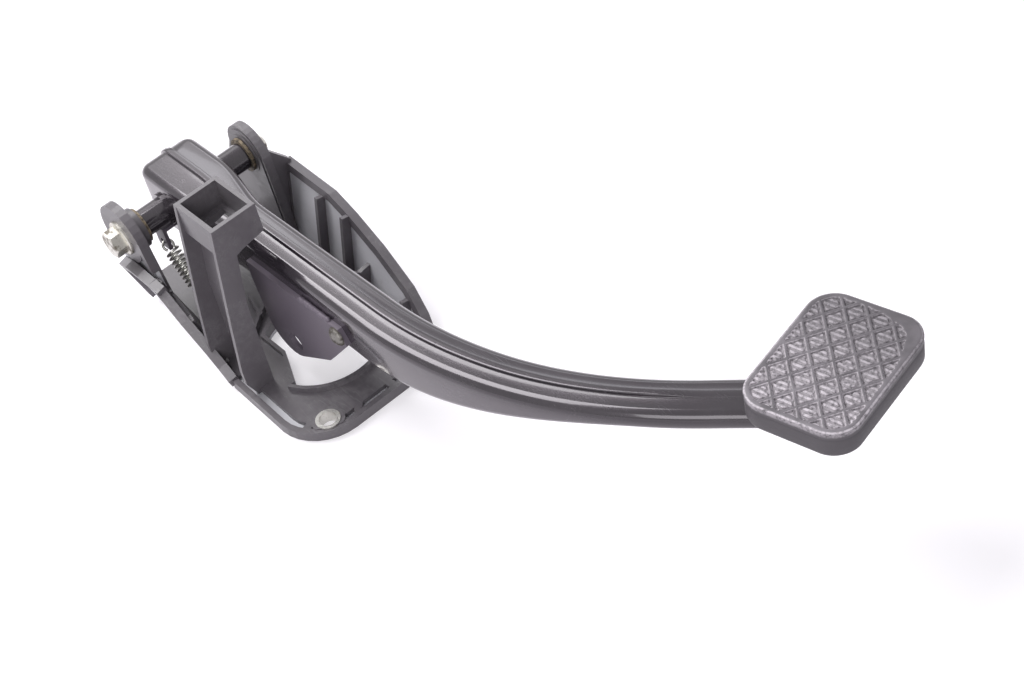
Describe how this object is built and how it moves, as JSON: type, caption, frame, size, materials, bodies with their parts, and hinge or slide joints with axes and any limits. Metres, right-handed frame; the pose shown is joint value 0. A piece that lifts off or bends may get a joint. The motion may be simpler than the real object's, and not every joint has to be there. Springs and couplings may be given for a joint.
{
  "type": "hanging brake pedal",
  "caption": "Hanging brake pedal: bent box-section arm with a ribbed rubber pad, on a pivot in a lined steel bracket with a switch tower.",
  "frame": {"origin": "middle of the four fixing holes, on the bracket's mounting face", "axes": "+X down the bulkhead from the pivot towards the pad, +Y along the pivot towards the flared panel, +Z out of the mounting face towards the driver"},
  "size_m": [0.3958, 0.1761, 0.104],
  "materials": {
    "sheet": "zinc plated pressed sheet",
    "moulding": "satin glass filled plastic",
    "sleeve": "plated steel",
    "bolt": "zinc plated",
    "arm_paint": "black gloss paint",
    "bush": "dirty acetal",
    "spring": "plated spring wire",
    "pad": "black rubber"
  },
  "bodies": {
    "bracket": {"bracket_sheet": "sheet", "bracket_moulding": "moulding", "fixing_sleeve_1": "sleeve", "fixing_sleeve_2": "sleeve", "fixing_sleeve_3": "sleeve", "fixing_sleeve_4": "sleeve", "pivot_bolt": "bolt", "pivot_nut": "bolt", "pivot_spacer": "sleeve", "return_spring": "spring"},
    "pedal": {"pivot_tube": "arm_paint", "pivot_bush_left": "bush", "pivot_bush_right": "bush", "arm_left_shell": "arm_paint", "arm_right_shell": "arm_paint", "pushrod_lug_left": "arm_paint", "pushrod_lug_right": "arm_paint", "lug_rivet_left": "bolt", "lug_rivet_right": "bolt", "spring_tab": "arm_paint", "pad_plate": "arm_paint", "pad_rubber": "pad"}
  },
  "joints": [
    {"name": "pedal_press", "type": "hinge", "parent": "bracket", "child": "pedal", "pos_m": [-0.09, 0, 0.057], "axis": [0, 1, 0], "range_deg": [0, 10], "stiffness_Nm_per_rad": 3, "springref_deg": -40.11, "deforming": ["return_spring"]}
  ]
}
